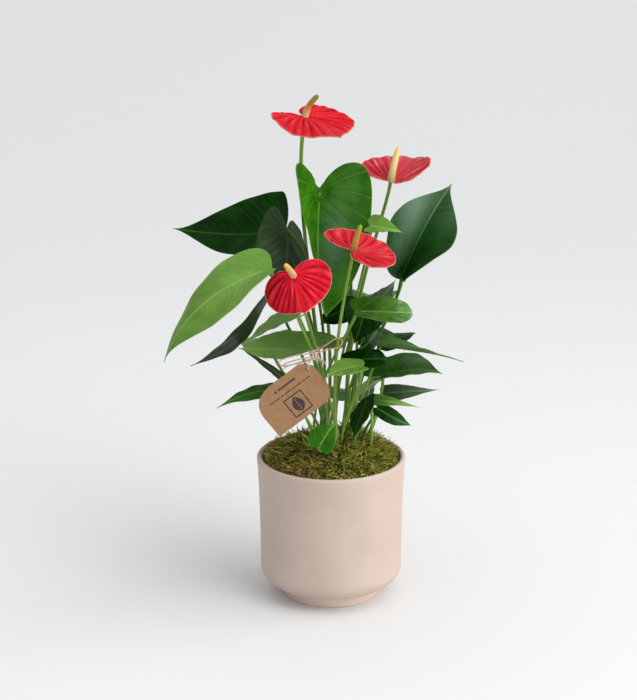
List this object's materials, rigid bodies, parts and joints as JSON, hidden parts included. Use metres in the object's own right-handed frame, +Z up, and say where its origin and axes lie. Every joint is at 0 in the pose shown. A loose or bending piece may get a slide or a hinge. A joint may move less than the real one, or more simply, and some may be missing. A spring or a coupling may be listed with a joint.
{
  "type": "potted anthurium",
  "caption": "Anthurium with glossy heart-shaped leaves and red blooms, in a round matt pot topped with moss, with a card tag tied on with twine.",
  "frame": {"origin": "centre of the flat underside of the pot's foot, on the surface that the pot stands on", "axes": "+Z up along the pot, -Y towards the side the picture shows, +X to the right of someone looking at that side"},
  "size_m": [0.2723, 0.2545, 0.4785],
  "materials": {
    "pot": "matte",
    "soil": "matte",
    "moss": "matte",
    "leaf_dark": "gloss",
    "leaf_light": "gloss",
    "leaf_mid": "gloss",
    "leaf_grey": "gloss",
    "leaf_teal": "gloss",
    "leaf_bright": "gloss",
    "flower_stem": "satin",
    "spathe": "gloss",
    "spadix": "matte",
    "kraft_card": "matte",
    "jute": "matte"
  },
  "bodies": {
    "root": {"pot": "pot", "soil": "soil", "moss": "moss", "leaf_left_high": "leaf_dark", "leaf_left_turned": "leaf_dark", "leaf_left_long": "leaf_light", "leaf_left_narrow": "leaf_dark", "leaf_left_pale": "leaf_light", "leaf_left_level": "leaf_mid", "leaf_left_edge_on": "leaf_grey", "leaf_left_low": "leaf_mid", "leaf_crown": "leaf_mid", "leaf_core_dark": "leaf_dark", "leaf_right_high": "leaf_teal", "leaf_right_little": "leaf_light", "leaf_right_curled": "leaf_bright", "leaf_right_upright": "leaf_grey", "leaf_core_hanging": "leaf_dark", "leaf_core_teal": "leaf_teal", "leaf_right_slender": "leaf_mid", "leaf_right_broad": "leaf_mid", "leaf_front_pale": "leaf_light", "leaf_front_dark": "leaf_dark", "leaf_right_rising": "leaf_light", "leaf_right_level": "leaf_grey", "leaf_right_low_pale": "leaf_light", "leaf_right_low": "leaf_teal", "leaf_low_hanging": "leaf_dark", "leaf_front_low": "leaf_mid", "leaf_back_high": "leaf_mid", "leaf_back_left": "leaf_light", "leaf_back_right": "leaf_dark", "leaf_back_low": "leaf_mid", "leaf_back_top": "leaf_dark", "bloom_top_stem": "flower_stem", "bloom_top_spathe": "spathe", "bloom_top_spadix": "spadix", "bloom_right_stem": "flower_stem", "bloom_right_spathe": "spathe", "bloom_right_spadix": "spadix", "bloom_middle_stem": "flower_stem", "bloom_middle_spathe": "spathe", "bloom_middle_spadix": "spadix", "bloom_front_stem": "flower_stem", "bloom_front_spathe": "spathe", "bloom_front_spadix": "spadix", "tag": "kraft_card", "twine": "jute", "twine_knot": "jute"}
  },
  "joints": []
}
